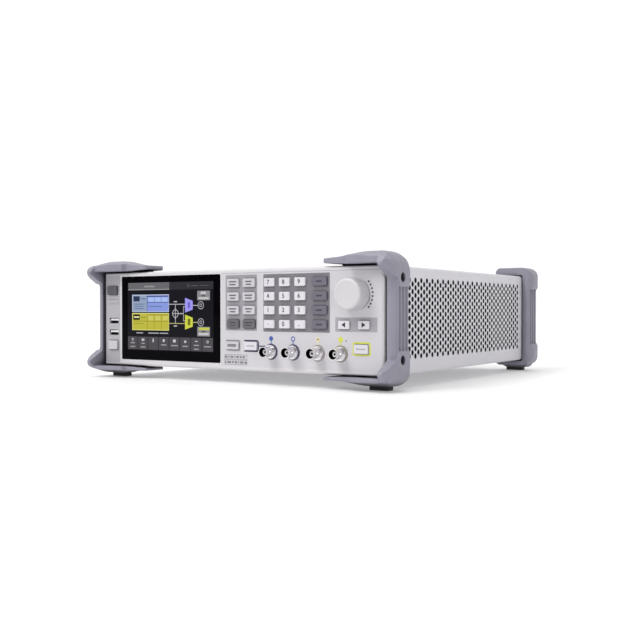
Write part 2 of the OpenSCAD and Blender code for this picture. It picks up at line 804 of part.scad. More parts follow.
module rubber_feet() {
    color([0.1, 0.1, 0.1]) both_sides()
        for (y = [14, case_end])
            translate([half_w - 12, face_y + y, 0]) along_z(0, foot_h) polygon(rectangle(19, 10, 2));
}

// ---- inside ----

// Main board on its posts, with screening cans, a finned heat sink, sockets and capacitors
module main_board() {
    top = -35.8;
    color("darkgreen") panel() {
        block([-68, 128], [62, 290], [-37.4, top]);
        for (p = [[30, 80], [30, 150]]) block([p[0], p[0] + 80], [p[1], p[1] + 55], [top - 0.1, top + 11]);
        block([-50, 0], [90, 140], [top - 0.1, top + 4]);
        for (i = [0:8]) block([-50 + i * 6, -48 + i * 6], [90, 140], [top + 3.5, top + 20]);
        block([-40, 10], [240, 252], [top - 0.1, top + 9]);
        for (p = [[60, 240], [80, 240], [100, 240]])
            translate([p[0], p[1], top - 0.1]) cylinder(r = 5, h = 15);
    }
}

// Open-frame power supply on its own tray
module power_supply() {
    base = -half_h + sheet;
    color("peru") panel() {
        block([-147.5, -84], [120, 285], [base, base + 6]);
        block([-147.5, -145.5], [120, 285], [base, base + 42]);
        block([-138, -100], [190, 225], [base + 5.9, base + 36]);
        for (x = [-128, -104]) translate([x, 145, base + 5.9]) cylinder(r = 11, h = 34);
        for (y = [240, 262]) block([-140, -92], [y, y + 3], [base + 5.9, base + 38]);
    }
}

module fan_frame() {
    difference() {
        block([0, fan_t], [-fan_size / 2, fan_size / 2], [-fan_size / 2, fan_size / 2]);
        rod_x(fan_size / 2 - 2, 2.5, fan_t + 1);
        difference() {
            rod_x(fan_size / 2 - 2, -1, 3);
            rod_x(16, -2, 4);
            for (a = [45:90:315]) rotate([a, 0, 0]) block([-2, 4], [0, fan_size / 2], [-2, 2]);
        }
        rod_x(1.5 + stem_fit, -1, 4);
        for (y = [-35.75, 35.75], z = [-35.75, 35.75]) translate([0, y, z]) rod_x(2.15, -1, fan_t + 1);
    }
}

module fan_frames() {
    color([0.1, 0.1, 0.1]) panel() for (y = fan_y) translate([fan_x, y, fan_z]) fan_frame();
}

// Hub, spindle and seven blades
module fan_rotor(y) {
    r = fan_size / 2 - 3.5;
    color([0.15, 0.15, 0.15]) panel() translate([fan_x, y, fan_z]) {
        rod_x(15, 4, fan_t - 2);
        rod_x(1.5, 0.3, 5);
        intersection() {
            rod_x(r, 4.5, fan_t - 2);
            for (i = [0:6]) rotate([i * 360 / 7, 0, 0]) translate([fan_t / 2 + 1, 0, 0]) rotate([0, 0, 38])
                block([-13, 13], [-0.9, 0.9], [13, r + 2]);
        }
    }
}

// ---- the assembly ----

base_pan();
side_panel_left();
side_panel_right();
top_cover();
rear_panel();
front_chassis();
front_bezel();
display_glass();
display_module();
front_circuit_board();
key_switches();
encoder_body();
control_knob();
bnc_shells();
bnc_insulators();
bnc_contacts();
data_ports();
mains_inlet();
color("slategray") mirror([1, 0, 0]) front_bumper();  // bumper_front_left
color("slategray") front_bumper();  // bumper_front_right
color("slategray") mirror([1, 0, 0]) rear_bumper();  // bumper_rear_left
color("slategray") rear_bumper();  // bumper_rear_right
rubber_feet();
case_screws();
main_board();
power_supply();
fan_frames();
fan_rotor(fan_y[0]);  // fan_rotor_front
fan_rotor(fan_y[1]);  // fan_rotor_rear
for (k = KEYS) color("whitesmoke") key(k);
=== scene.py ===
"""Looks for the bench function generator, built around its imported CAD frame.

Panel places are millimetres from the middle of the bezel face: x across, z up, out towards the viewer.
"""

import json
import math

import bmesh
import bpy
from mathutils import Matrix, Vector


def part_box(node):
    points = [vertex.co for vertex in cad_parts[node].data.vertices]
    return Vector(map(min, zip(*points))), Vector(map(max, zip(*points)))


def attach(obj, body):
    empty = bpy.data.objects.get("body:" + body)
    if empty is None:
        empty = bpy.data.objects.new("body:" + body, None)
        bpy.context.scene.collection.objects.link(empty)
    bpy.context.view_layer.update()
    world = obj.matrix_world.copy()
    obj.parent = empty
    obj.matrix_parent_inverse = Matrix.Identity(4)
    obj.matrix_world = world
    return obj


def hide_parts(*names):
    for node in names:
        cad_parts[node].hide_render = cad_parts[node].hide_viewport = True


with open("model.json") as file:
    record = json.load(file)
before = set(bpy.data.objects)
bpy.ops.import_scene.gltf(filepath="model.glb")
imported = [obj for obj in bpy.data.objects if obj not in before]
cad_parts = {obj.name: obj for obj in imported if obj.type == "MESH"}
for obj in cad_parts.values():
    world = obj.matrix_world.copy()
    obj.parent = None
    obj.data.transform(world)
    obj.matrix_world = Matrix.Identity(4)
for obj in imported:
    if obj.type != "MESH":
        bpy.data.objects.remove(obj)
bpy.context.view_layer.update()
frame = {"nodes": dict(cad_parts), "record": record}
nodes = frame["nodes"]
body_of_node = {n: body for body, members in frame["record"]["behaviour"]["bodies"].items() for n in members}
slot_of_node = {s["node"]: s["material_slot"] for s in frame["record"]["subparts"]}

MM = 0.001
bezel_low, bezel_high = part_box("front_bezel")
FACE_Y = bezel_low.y
PANEL_Z = (bezel_low.z + bezel_high.z) / 2
CHASSIS = "chassis"
side_low, side_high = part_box("side_panel_right")
CASE_W = 2 * side_high.x
CASE_H = side_high.z - side_low.z
REAR_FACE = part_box("rear_panel")[1].y


def on_panel(x, z, out=0.0):
    return Vector((x * MM, FACE_Y - out * MM, PANEL_Z + z * MM))


def panel_box(node):
    """A node's extents on the panel in millimetres: left, right, low, high."""
    low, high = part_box(node)
    return low.x / MM, high.x / MM, (low.z - PANEL_Z) / MM, (high.z - PANEL_Z) / MM


def rise_of(node):
    """How far a node stands out of the bezel face, in millimetres."""
    return (FACE_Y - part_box(node)[0].y) / MM


# ---- node materials ----


def srgb(*channels):
    """An 8-bit screen colour as the linear colour that a shader takes."""
    shares = [c / 255 for c in channels]
    return tuple(s / 12.92 if s <= 0.04045 else ((s + 0.055) / 1.055) ** 2.4 for s in shares)


def add(tree, kind, inputs=None, **settings):
    made = tree.nodes.new(kind)
    for key, value in settings.items():
        setattr(made, key, value)
    for key, value in (inputs or {}).items():
        if isinstance(value, bpy.types.NodeSocket):
            tree.links.new(value, made.inputs[key])
        else:
            made.inputs[key].default_value = value
    return made


def blank(name):
    material = bpy.data.materials.new(name)
    material.use_nodes = True
    tree = material.node_tree
    return material, tree, tree.nodes["Principled BSDF"]


def noise(tree, scale, detail=2.0, stretch=None):
    """Noise in object space; scale is waves a metre, and stretch squeezes it along the axes."""
    where = add(tree, "ShaderNodeTexCoord").outputs["Object"]
    if stretch:
        where = add(tree, "ShaderNodeMapping", {"Vector": where, "Scale": stretch}).outputs["Vector"]
    return add(tree, "ShaderNodeTexNoise", {"Vector": where, "Scale": scale, "Detail": detail}).outputs["Fac"]


def mixed(tree, share, low, high):
    """Two colours mixed by a share."""
    mix = add(tree, "ShaderNodeMix", data_type="RGBA")
    tree.links.new(share, mix.inputs["Factor"])
    for socket, value in ((mix.inputs[6], low), (mix.inputs[7], high)):
        if isinstance(value, bpy.types.NodeSocket):
            tree.links.new(value, socket)
        else:
            socket.default_value = (*value, 1)
    return mix.outputs[2]


def spread(tree, value, low, high, start=0.35, end=0.65):
    """A value stretched so that start becomes low and end becomes high."""
    limits = {"From Min": start, "From Max": end, "To Min": low, "To Max": high}
    return add(tree, "ShaderNodeMapRange", {"Value": value, **limits}).outputs[0]


def maths(tree, operation, *values):
    """One step of arithmetic on sockets and numbers."""
    return add(tree, "ShaderNodeMath", dict(enumerate(values)), operation=operation).outputs[0]


# Painted shade in creases and gaps: the rays that look for faces close by, and the share of the colour left
# where they close in.
PAINTED_SHADE_RAYS = 12
PAINTED_SHADE_DARKNESS = 0.12


def surface(name, colour, roughness, metallic=0.0, vary=0.04, vary_scale=25.0, grain=1500.0, depth=0.02,
            rough_vary=0.06, specular=0.5, stretch=None, painted_inner_shade=False, painted_shade_reach=0.0):
    """A moulded, painted or plated surface: slow colour drift, uneven gloss and a fine grain.
    vary is the share by which the colour drifts, grain is waves a metre, and depth is the grain's height
    in millimetres. A switch paints shade on the faces inside the case. Within a reach in millimetres,
    painted shade darkens the colour where other faces close in, as shade falls in creases and gaps."""
    material, tree, shader = blank(name)
    drift = spread(tree, noise(tree, vary_scale, 3.0), 0, 1)
    dark = tuple(c * (1 - vary) for c in colour)
    light = tuple(min(1.0, c * (1 + vary)) for c in colour)
    paint = mixed(tree, drift, dark, light)
    # Painted shade: the colour darkens where faces close by hide the sky.
    if painted_shade_reach:
        reach = {"Distance": painted_shade_reach * MM}
        open_share = add(tree, "ShaderNodeAmbientOcclusion", reach, samples=PAINTED_SHADE_RAYS).outputs["AO"]
        shade = tuple(c * PAINTED_SHADE_DARKNESS for c in colour)
        paint = mixed(tree, spread(tree, open_share, 0, 1, start=0.3, end=0.85), shade, paint)
    tree.links.new(paint, shader.inputs["Base Color"])
    fine = noise(tree, grain, 3.0, stretch)
    coarse = noise(tree, vary_scale * 6, 4.0, stretch)
    rough = spread(tree, coarse, roughness - rough_vary, roughness + rough_vary)
    tree.links.new(rough, shader.inputs["Roughness"])
    if depth:
        bump = add(tree, "ShaderNodeBump", {"Height": fine, "Strength": 1.0, "Distance": depth * MM})
        tree.links.new(bump.outputs["Normal"], shader.inputs["Normal"])
    shader.inputs["Metallic"].default_value = metallic
    shader.inputs["Specular IOR Level"].default_value = specular
    # Painted shade on the faces inside the case.
    if painted_inner_shade:
        paint_inner_shade(tree, shader, colour)
    return material


DOTS_A_METRE = 4400.0


def glowing(name, colour):
    """A lit area of the screen picture, with the fine dot grid of the panel."""
    material, tree, shader = blank(name)
    where = add(tree, "ShaderNodeTexCoord").outputs["Object"]
    dots = add(tree, "ShaderNodeTexChecker", {"Vector": where, "Scale": DOTS_A_METRE}).outputs["Fac"]
    lit_dots = mixed(tree, spread(tree, dots, 0, 1, start=0, end=1), tuple(c * 0.94 for c in colour), colour)
    tree.links.new(lit_dots, shader.inputs["Emission Color"])
    shader.inputs["Base Color"].default_value = (*[c * 0.05 for c in colour], 1)
    shader.inputs["Emission Strength"].default_value = 1.0
    shader.inputs["Roughness"].default_value = 0.1
    shader.inputs["Specular IOR Level"].default_value = 0.03
    return material


def repainted(tree, shader, share, colour):
    """Mixes a colour over the shader's paint by a share."""
    paint = shader.inputs["Base Color"].links[0].from_socket
    tree.links.new(mixed(tree, share, colour, paint), shader.inputs["Base Color"])


FOLD = 3 * MM
SKIN_START = 0.4 * MM
SKIN_END = 0.25 * MM
INSIDE_SHADE = 0.04


def paint_inner_shade(tree, shader, colour):
    """Painted shade: darkens the case's paint on every face that lies deeper than its outer surface, as the
    shade inside the case would.
    """
    where = add(tree, "ShaderNodeTexCoord").outputs["Object"]
    parts = add(tree, "ShaderNodeSeparateXYZ", {"Vector": where}).outputs
    past = []
    for value, middle_at, half in ((parts["X"], 0.0, CASE_W / 2), (parts["Z"], PANEL_Z, CASE_H / 2)):
        off = maths(tree, "ABSOLUTE", maths(tree, "SUBTRACT", value, middle_at))
        past.append(maths(tree, "MAXIMUM", maths(tree, "SUBTRACT", off, half - FOLD), 0.0))
    corner_way = add(tree, "ShaderNodeCombineXYZ", {"X": past[0], "Y": past[1]}).outputs["Vector"]
    from_fold = add(tree, "ShaderNodeVectorMath", {0: corner_way}, operation="LENGTH").outputs["Value"]
    skins = [spread(tree, value, 0, 1, edge - SKIN_START, edge - SKIN_END)
             for value, edge in ((from_fold, FOLD), (parts["Y"], REAR_FACE))]
    repainted(tree, shader, maths(tree, "MAXIMUM", *skins), tuple(c * INSIDE_SHADE for c in colour))


JACK_X = (47.9, 71.8, 97.9, 121.0)
JACK_Z = -28.3
BORE_R = 4.3
BORE_FADE = 0.15


def paint_bore_shade(material):
    """Painted shade: darkens the jacks' metal inside their bores, where the shade falls."""
    tree = material.node_tree
    where = add(tree, "ShaderNodeTexCoord").outputs["Object"]
    parts = add(tree, "ShaderNodeSeparateXYZ", {"Vector": where}).outputs
    up = maths(tree, "SUBTRACT", parts["Z"], PANEL_Z + JACK_Z * MM)
    nearest = None
    for x in JACK_X:
        across = maths(tree, "SUBTRACT", parts["X"], x * MM)
        offset = add(tree, "ShaderNodeCombineXYZ", {"X": across, "Y": up}).outputs["Vector"]
        gap = add(tree, "ShaderNodeVectorMath", {0: offset}, operation="LENGTH").outputs["Value"]
        nearest = gap if nearest is None else maths(tree, "MINIMUM", gap, nearest)
    share = spread(tree, nearest, 0, 1, (BORE_R - BORE_FADE) * MM, BORE_R * MM)
    repainted(tree, tree.nodes["Principled BSDF"], share, (0.01, 0.01, 0.012))


def ink(name, *colour):
    """Printing ink, which also paints some shade: thin and slightly uneven."""
    return surface(name, srgb(*colour), 0.45, vary=0.05, vary_scale=300, grain=4000, depth=0.004)


# The bezel, the bumpers and the screws get painted shade where faces close in, and the case paint gets
# painted shade on its inside.
MATERIALS = (
    ("bezel_plastic", (208, 205, 209), 0.38, dict(vary=0.012, grain=3200, depth=0.012, painted_shade_reach=3.0)),
    ("case_paint", (212, 210, 216), 0.5,
     dict(vary=0.02, grain=1400, depth=0.035, rough_vary=0.08, painted_inner_shade=True)),
    ("bumper_rubber", (140, 138, 151), 0.45, dict(vary_scale=40, grain=2400, painted_shade_reach=9.0)),
    ("foot_rubber", (38, 37, 41), 0.7, dict(vary=0.1, grain=1800, depth=0.03)),
    ("knob_plastic", (200, 197, 201), 0.4, dict(vary=0.012, grain=3200, depth=0.01)),
    ("key_white", (212, 209, 216), 0.5, dict(vary=0.015, grain=2600, depth=0.012)),
    ("key_grey", (104, 101, 113), 0.55, dict(vary=0.03, grain=2600, depth=0.015)),
    ("cover_glass", (3, 2, 5), 0.08, dict(vary=0.2, grain=60, depth=0.0, rough_vary=0.03, specular=0.03)),
    ("display_frame", (40, 42, 46), 0.3, dict(grain=800, depth=0.01)),
    ("circuit_board", (18, 52, 34), 0.35, dict(vary=0.2, vary_scale=160, grain=600, depth=0.03)),
    ("black_plastic", (34, 34, 37), 0.5, dict(vary=0.1, grain=2200)),
    ("zinc_steel", (120, 122, 126), 0.32,
     dict(metallic=1.0, vary=0.05, grain=900, depth=0.01, stretch=(1, 8, 1))),
    ("screw_steel", (34, 34, 38), 0.42, dict(metallic=1.0, vary=0.08, grain=900, depth=0.01, painted_shade_reach=6.0)),
    ("nickel", (228, 225, 228), 0.16, dict(metallic=1.0, vary=0.05, vary_scale=120, grain=900, depth=0.006)),
    ("white_insulator", (236, 236, 238), 0.4, dict(vary=0.02, grain=1200, depth=0.01)),
    ("gold_contact", (74, 60, 42), 0.25, dict(metallic=1.0, vary=0.05, grain=900, depth=0.004)),
    ("transformer", (110, 88, 48), 0.5, dict(vary=0.25, vary_scale=120, grain=700, depth=0.05)),
)
PAINT = {name: surface(name, srgb(*colour), rough, **finish) for name, colour, rough, finish in MATERIALS}
paint_bore_shade(PAINT["nickel"])

for name, part in nodes.items():
    part.data.materials.clear()
    part.data.materials.append(PAINT[slot_of_node[name]])


# ---- mesh helpers ----


def applied(mesh, *modifiers):
    """The mesh after modifiers, each given as (type, settings)."""
    holder = bpy.data.objects.new("holder", mesh)
    bpy.context.scene.collection.objects.link(holder)
    for kind, settings in modifiers:
        modifier = holder.modifiers.new(kind, kind)
        for key, value in settings.items():
            setattr(modifier, key, value)
    graph = bpy.context.evaluated_depsgraph_get()
    made = bpy.data.meshes.new_from_object(holder.evaluated_get(graph))
    bpy.data.objects.remove(holder)
    return made


def shaded(mesh, angle=40):
    """Smooth shading that stays sharp where faces meet at more than the angle."""
    work = bmesh.new()
    work.from_mesh(mesh)
    bmesh.ops.recalc_face_normals(work, faces=work.faces)
    for face in work.faces:
        face.smooth = True
    for edge in work.edges:
        edge.smooth = edge.is_manifold and edge.calc_face_angle(0) < math.radians(angle)
    work.to_mesh(mesh)
    work.free()
    return mesh


def joined_faces(node):
    """A CAD node's mesh without its triangle edges on flat faces, ready for bevels."""
    source = nodes[node].data
    mesh = bpy.data.meshes.new(node)
    mesh.from_pydata([v.co for v in source.vertices], [], [tuple(p.vertices) for p in source.polygons])
    work = bmesh.new()
    work.from_mesh(mesh)
    bmesh.ops.remove_doubles(work, verts=work.verts, dist=2e-6)
    bmesh.ops.dissolve_limit(work, angle_limit=math.radians(0.4), verts=work.verts, edges=work.edges)
    work.to_mesh(mesh)
    work.free()
    return mesh


def softened(node, width, segments=2, angle=30, paint=None):
    """A piece in place of a CAD node, with its edges rounded by width millimetres."""
    bevel = {"width": width * MM, "segments": segments, "limit_method": "ANGLE",
             "angle_limit": math.radians(angle), "use_clamp_overlap": True, "miter_outer": "MITER_ARC"}
    mesh = shaded(applied(joined_faces(node), ("BEVEL", bevel)))
    mesh = applied(mesh, ("WEIGHTED_NORMAL", {"keep_sharp": True, "weight": 80}))
    return piece(f"{node}_soft", mesh, body_of_node[node], slot_of_node[node], paint, node)


def moulded(node, voxel, passes, keep):
    """A soft moulding in place of a CAD node: its surface is rebuilt on a fine grid of voxel millimetres,
    relaxed in passes, and thinned to a share of its faces."""
    mesh = applied(joined_faces(node), ("REMESH", {"mode": "VOXEL", "voxel_size": voxel * MM}),
                   ("SMOOTH", {"factor": 0.5, "iterations": passes}), ("DECIMATE", {"ratio": keep}))
    return piece(f"{node}_soft", shaded(mesh, 180), body_of_node[node], slot_of_node[node], None, node)


def piece(name, mesh, body, slot, paint=None, stands_for=None):
    made = bpy.data.objects.new(name, mesh)
    bpy.context.scene.collection.objects.link(made)
    mesh.materials.clear()
    mesh.materials.append(paint or PAINT[slot])
    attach(made, body)
    if stands_for:
        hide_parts(stands_for)
    return made


def merged(meshes, name):
    work = bmesh.new()
    for mesh in meshes:
        work.from_mesh(mesh)
    made = bpy.data.meshes.new(name)
    work.to_mesh(made)
    work.free()
    return made


# ---- flat outlines on the panel ----


CORNER_STEPS = 5
ARC_STEPS = 40


def around(x, z, r, angle):
    """The point at an angle in radians on a circle about (x, z)."""
    return x + r * math.cos(angle), z + r * math.sin(angle)


def rect(x, z, w, h, r=0.0):
    """A rectangle's outline about (x, z), with round corners of radius r."""
    across, up = w / 2, h / 2
    if not r:
        return [(x - across, z - up), (x + across, z - up), (x + across, z + up), (x - across, z + up)]
    across, up = across - r, up - r
    corners = ((across, up, 0), (-across, up, 90), (-across, -up, 180), (across, -up, 270))
    return [around(x + cx, z + cz, r, math.radians(start + 90 * k / CORNER_STEPS))
            for cx, cz, start in corners for k in range(CORNER_STEPS + 1)]


def span(x0, x1, z0, z1, r=0.0):
    """A rectangle's outline between two corners."""
    return rect((x0 + x1) / 2, (z0 + z1) / 2, x1 - x0, z1 - z0, r)


def disc(x, z, r, sides=32):
    return [around(x, z, r, 2 * math.pi * k / sides) for k in range(sides)]


def ribbon(points, w):
    """Straight strokes of width w between points, as separate outlines."""
    strokes = []
    for (x0, z0), (x1, z1) in zip(points, points[1:]):
        along = Vector((x1 - x0, z1 - z0)).normalized() * (w / 2)
        side = Vector((-along.y, along.x))
        a, b = Vector((x0, z0)) - along, Vector((x1, z1)) + along
        strokes.append([tuple(a + side), tuple(a - side), tuple(b - side), tuple(b + side)])
    return strokes


def frame_of(x, z, w, h, t, r=0.0):
    """The two outlines of a rectangular line of width t, outside a rectangle of w by h."""
    return [rect(x, z, w + 2 * t, h + 2 * t, r + t if r else 0), rect(x, z, w, h, r)]


def hoop(x, z, r0, r1):
    """The two outlines of a ring between two radii."""
    return [disc(x, z, r1), disc(x, z, r0)]


def arc_band(x, z, r0, r1, a0, a1):
    """The outline of part of a ring between two angles in degrees."""
    angles = [math.radians(a0 + (a1 - a0) * k / ARC_STEPS) for k in range(ARC_STEPS + 1)]
    return [around(x, z, r1, a) for a in angles] + [around(x, z, r0, a) for a in reversed(angles)]


def bracket(x, z, w, h, t, r):
    """The outline of a line of width t along the top, right and bottom of a rectangle of w by h."""
    outer = rect(x, z, w + 2 * t, h + 2 * t, r + t)
    inner = rect(x, z, w, h, r)
    left = x - w / 2 - t
    run = len(outer) // 4
    upper_right, lower_right = outer[:run], outer[3 * run:]
    inner_upper, inner_lower = inner[:run], inner[3 * run:]
    return [(left, z - h / 2 - t), *lower_right, *upper_right, (left, z + h / 2 + t), (left, z + h / 2),
            *reversed(inner_upper), *reversed(inner_lower), (left, z - h / 2)]


PRINT_THICK = 0.03


def flat(loops, out, thick=PRINT_THICK):
    """A thin plate standing out of the bezel face. An outline that lies inside another is a hole."""
    curve = bpy.data.curves.new("flat", "CURVE")
    curve.dimensions = "2D"
    curve.fill_mode = "BOTH"
    curve.extrude = thick / 2
    for loop in loops:
        spline = curve.splines.new("POLY")
        spline.points.add(len(loop) - 1)
        for point, (x, z) in zip(spline.points, loop):
            point.co = (x, z, 0, 1)
        spline.use_cyclic_u = True
    return to_panel(curve, out, thick)


DIGIT_SIZE = 5.4
DIGIT_BOLDER = 0.12


def label(text, x, z, out):
    """A digit, centred on (x, z)."""
    curve = bpy.data.curves.new("label", "FONT")
    curve.body = text
    curve.size = DIGIT_SIZE
    curve.extrude = PRINT_THICK / 2
    curve.offset = DIGIT_BOLDER
    curve.align_x = "CENTER"
    curve.align_y = "CENTER"
    return to_panel(curve, out, PRINT_THICK, x, z)


def to_panel(curve, out, thick, x=0.0, z=0.0):
    """A filled curve's mesh, set up on the panel."""
    holder = bpy.data.objects.new("holder", curve)
    bpy.context.scene.collection.objects.link(holder)
    graph = bpy.context.evaluated_depsgraph_get()
    mesh = bpy.data.meshes.new_from_object(holder.evaluated_get(graph))
    bpy.data.objects.remove(holder)
    for vertex in mesh.vertices:
        vertex.co = on_panel(vertex.co.x + x, vertex.co.y + z, vertex.co.z + out + thick / 2)
    work = bmesh.new()
    work.from_mesh(mesh)
    bmesh.ops.remove_doubles(work, verts=work.verts, dist=1e-7)
    bmesh.ops.recalc_face_normals(work, faces=work.faces)
    work.to_mesh(mesh)
    work.free()
    return mesh


def printed(name, meshes, paint):
    """Printing, sheet or painted shade on the bezel."""
    return piece(name, merged(meshes, name), CHASSIS, "bezel_plastic", paint)


# ---- camera, lights and floor ----

CAMERA_AT = (518.13, 8.71, 637.07)
CAMERA_TURN = (89.37, 0.0, 33.276)
CAMERA_LENS = 49.85
CAMERA_SENSOR = 36
CAMERA_REACH = 50


def make_camera():
    data = bpy.data.cameras.new("camera")
    data.lens = CAMERA_LENS
    data.sensor_width = CAMERA_SENSOR
    data.clip_end = CAMERA_REACH
    camera = bpy.data.objects.new("camera", data)
    camera.location = on_panel(*CAMERA_AT)
    camera.rotation_euler = [math.radians(a) for a in CAMERA_TURN]
    bpy.context.scene.collection.objects.link(camera)
    bpy.context.scene.camera = camera


def make_light(name, kind, at, target, power, **settings):
    data = bpy.data.lights.new(name, kind)
    data.energy = power
    for key, value in settings.items():
        setattr(data, key, value)
    light = bpy.data.objects.new(name, data)
    light.location = at
    light.rotation_euler = (Vector(target) - Vector(at)).to_track_quat("-Z", "Y").to_euler()
    bpy.context.scene.collection.objects.link(light)


def make_world():
    """White near the horizon behind the instrument, and softer overhead, in front and on the right."""
    world = bpy.data.worlds.new("studio")
    world.use_nodes = True
    tree = world.node_tree
    where = add(tree, "ShaderNodeTexCoord").outputs["Generated"]
    ways = add(tree, "ShaderNodeSeparateXYZ", {"Vector": where}).outputs
    overhead = spread(tree, ways["Z"], low=1.06, high=0.5, start=0.3, end=0.85)
    right = spread(tree, ways["X"], low=1.0, high=0.6, start=0.3, end=0.9)
    front = spread(tree, ways["Y"], low=0.42, high=1.0, start=-0.7, end=0.1)
    strength = maths(tree, "MULTIPLY", maths(tree, "MULTIPLY", overhead, right), front)
    tree.links.new(strength, tree.nodes["Background"].inputs["Strength"])
    tree.nodes["Background"].inputs["Color"].default_value = (1, 1, 1, 1)
    bpy.context.scene.world = world


FLOOR_HALF = 6
FLOOR_GREY = 0.7
FLOOR_GLOW = 0.22
CASE_MIDDLE = (0, 0, 0.06)
FRONT_CORNER = (0.17, -0.16, 0.06)


def make_floor():
    """A pale floor with a faint glow of its own, which keeps it near white."""
    corners = [(x * FLOOR_HALF, y * FLOOR_HALF, 0) for x, y in ((-1, -1), (1, -1), (1, 1), (-1, 1))]
    mesh = bpy.data.meshes.new("floor")
    mesh.from_pydata(corners, [], [(0, 1, 2, 3)])
    floor = bpy.data.objects.new("floor", mesh)
    bpy.context.scene.collection.objects.link(floor)
    paper = surface("floor_paper", (FLOOR_GREY,) * 3, 0.6, vary=0.004, grain=400, depth=0.0)
    shader = paper.node_tree.nodes["Principled BSDF"]
    shader.inputs["Emission Color"].default_value = (1, 1, 1, 1)
    shader.inputs["Emission Strength"].default_value = FLOOR_GLOW
    mesh.materials.append(paper)


def make_studio():
    """A wide soft sky, a narrower sun from the upper left, and a lamp on the right-hand side."""
    bpy.context.scene.view_settings.view_transform = "Standard"
    make_world()
    make_light("sky", "SUN", at=(-0.2, -0.2, 1.3), target=CASE_MIDDLE, power=1.5, angle=math.radians(60))
    make_light("key", "SUN", at=(-0.45, -0.95, 1.15), target=CASE_MIDDLE, power=1.3, angle=math.radians(26))
    make_light("side", "AREA", at=(1.0, -1.0, 0.4), target=FRONT_CORNER, power=2.3,
               shape="RECTANGLE", size=0.4, size_y=0.4)
    make_floor()


make_camera()
make_studio()


# ---- bumpers and feet ----

for corner in ("front_left", "front_right", "rear_left", "rear_right"):
    moulded(f"bumper_{corner}", voxel=0.55, passes=7, keep=0.16)
softened("rubber_feet", 0.5)

# ---- bezel and the plates printed on it ----

softened("front_bezel", 0.35)

KEYS = [n for n in nodes if "_key" in n and n != "key_switches"]
STRIP_KEYS = ["power_key", "side_key"]
FUNCTION_KEYS = [f"function_key_{k}" for k in range(1, 9)]
UNIT_KEYS = [f"unit_key_{k}" for k in range(1, 5)]
NUMBER_KEYS = [n for n in KEYS if n.startswith("number_key")]
ARROW_KEYS = ["arrow_key_left", "arrow_key_right"]
OUTPUT_KEYS = ["output_key_1", "output_key_2"]


def middle(node):
    x0, x1, z0, z1 = panel_box(node)
    return (x0 + x1) / 2, (z0 + z1) / 2


FLANGE_W = 2
FLANGE_H = 1.4


def cap(node):
    """A key's cap: its centre, width and height. Its node's box is that of the wider flange behind it."""
    x0, x1, z0, z1 = panel_box(node)
    return *middle(node), x1 - x0 - FLANGE_W, z1 - z0 - FLANGE_H


CAP_CORNER = 1.0


def key_holes(keys, gap):
    """Outlines a gap outside the keys' caps."""
    caps = [cap(key) for key in keys]
    return [rect(x, z, w + 2 * gap, h + 2 * gap, CAP_CORNER + gap) for x, z, w, h in caps]


KNOB_X, KNOB_Z = middle("control_knob")
GLASS_RIGHT = panel_box("display_glass")[1]

PLATE = surface("overlay_sheet", srgb(200, 197, 202), 0.4, vary=0.012, grain=3600, depth=0.008)
STRIP = surface("strip_sheet", srgb(172, 169, 175), 0.45, vary=0.012, grain=3600, depth=0.008)
LINE_INK_AND_SHADE = ink("line_ink_and_shade", 168, 165, 171)
GREY_INK_AND_SHADE = ink("grey_ink_and_shade", 120, 117, 123)
INK_LEGEND = ink("ink_legend", 84, 82, 88)
INK_DARK = ink("ink_dark", 58, 56, 62)
INK_BLACK = ink("ink_black", 30, 29, 33)
INK_NAVY = ink("ink_navy", 26, 32, 72)
INK_BLUE = ink("ink_blue", 58, 88, 160)
INK_CREAM = ink("ink_cream", 222, 212, 168)
INK_BROWN = ink("ink_brown", 112, 104, 88)
INK_YELLOW = ink("ink_yellow", 206, 212, 72)
INK_OLIVE = ink("ink_olive", 104, 104, 48)

SHEET = 0.04
KEY_GAP = 0.45
FIELD_GAP = 0.5
FIELDS = (
    ("function_field", (-4.2, 32.1, -9.8, 41.0), FUNCTION_KEYS, (150, 147, 154)),
    ("keypad_field", (39.3, 110.1, -10.5, 41.0), NUMBER_KEYS + UNIT_KEYS, (118, 115, 122)),
    ("arrow_field", (115.6, 156.7, -9.5, 2.7), ARROW_KEYS, (160, 157, 164)),
)
# Each field's ink gets painted shade round the keys that stand out of it.
for name, sides, keys, colour in FIELDS:
    paint = surface(name, srgb(*colour), 0.45, vary=0.02, grain=3600, depth=0.008, painted_shade_reach=5.0)
    printed(name, [flat([span(*sides, 0.5), *key_holes(keys, FIELD_GAP)], SHEET, SHEET)], paint)

OVERLAY_X = (GLASS_RIGHT + 1.1, 161.2)
OVERLAY_Z = (-42.6, 42.4)
holes = key_holes([k for k in KEYS if k not in STRIP_KEYS], KEY_GAP)
holes.append(disc(KNOB_X, KNOB_Z, 5.2, 48))
holes += [disc(x, JACK_Z, 6.0, 48) for x in JACK_X]
overlay = [span(*OVERLAY_X, *OVERLAY_Z, 1.0), *holes]
printed("overlay_sheet", [flat(overlay, 0, SHEET)], PLATE)
# A grey line along the overlay's top edge is painted shade of a shallow groove.
printed("overlay_groove_shade", [flat([span(*OVERLAY_X, 42.45, 42.95)], 0, 0.02)], LINE_INK_AND_SHADE)


# ---- marks round the keys, jacks and knob, with a painted shadow by the knob ----

TOP = SHEET + 0.002


def mark(*outlines):
    """One mark on the overlay; the knob's arc among them is painted shadow."""
    return flat(outlines, TOP)


